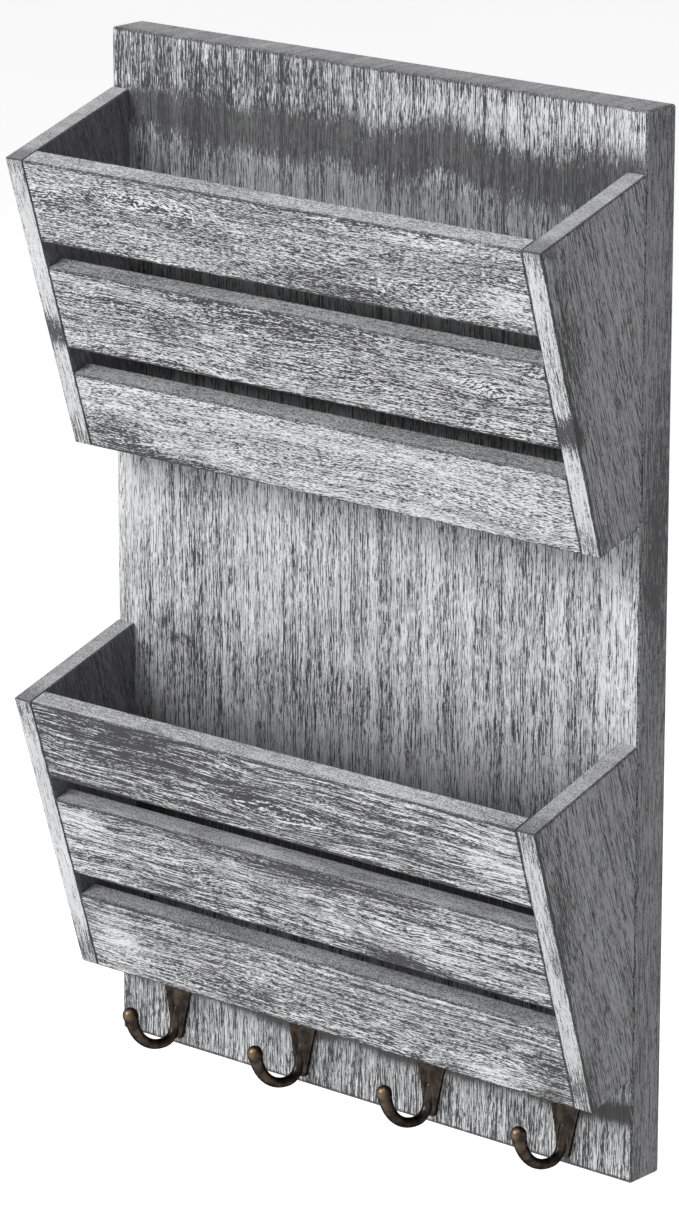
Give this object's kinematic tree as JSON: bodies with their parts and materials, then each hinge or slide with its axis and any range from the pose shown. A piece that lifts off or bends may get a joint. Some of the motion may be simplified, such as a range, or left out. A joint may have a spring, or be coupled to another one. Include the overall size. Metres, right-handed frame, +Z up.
{
  "type": "wall mail organizer",
  "caption": "Wall-hung wooden organizer: two open slatted bins that lean forward from a back panel, over a row of cast key hooks.",
  "frame": {"origin": "centre of the back face, which lies flat on the wall", "axes": "+X along the wall to the viewer's right, +Y into the wall, +Z up; the bins and hooks face -Y"},
  "size_m": [0.28, 0.0835, 0.442],
  "materials": {
    "whitewashed_wood": "weathered softwood under a thin worn white wash, matt",
    "smoked_wood": "weathered softwood, smoked grey, matt",
    "antique_bronze": "cast zinc alloy, dark antique bronze plating, satin",
    "zinc_plated_steel": "zinc plated, dull"
  },
  "bodies": {
    "root": {"back_panel": "whitewashed_wood", "upper_bin_left_side": "smoked_wood", "upper_bin_right_side": "smoked_wood", "upper_bin_bottom_slat": "whitewashed_wood", "upper_bin_middle_slat": "whitewashed_wood", "upper_bin_top_slat": "whitewashed_wood", "upper_bin_floor": "smoked_wood", "upper_bin_brads": "zinc_plated_steel", "upper_bin_back_brads": "zinc_plated_steel", "lower_bin_left_side": "smoked_wood", "lower_bin_right_side": "smoked_wood", "lower_bin_bottom_slat": "whitewashed_wood", "lower_bin_middle_slat": "whitewashed_wood", "lower_bin_top_slat": "whitewashed_wood", "lower_bin_floor": "smoked_wood", "lower_bin_brads": "zinc_plated_steel", "lower_bin_back_brads": "zinc_plated_steel", "key_hook_1": "antique_bronze", "key_hook_1_screws": "antique_bronze", "key_hook_2": "antique_bronze", "key_hook_2_screws": "antique_bronze", "key_hook_3": "antique_bronze", "key_hook_3_screws": "antique_bronze", "key_hook_4": "antique_bronze", "key_hook_4_screws": "antique_bronze"}
  },
  "joints": []
}
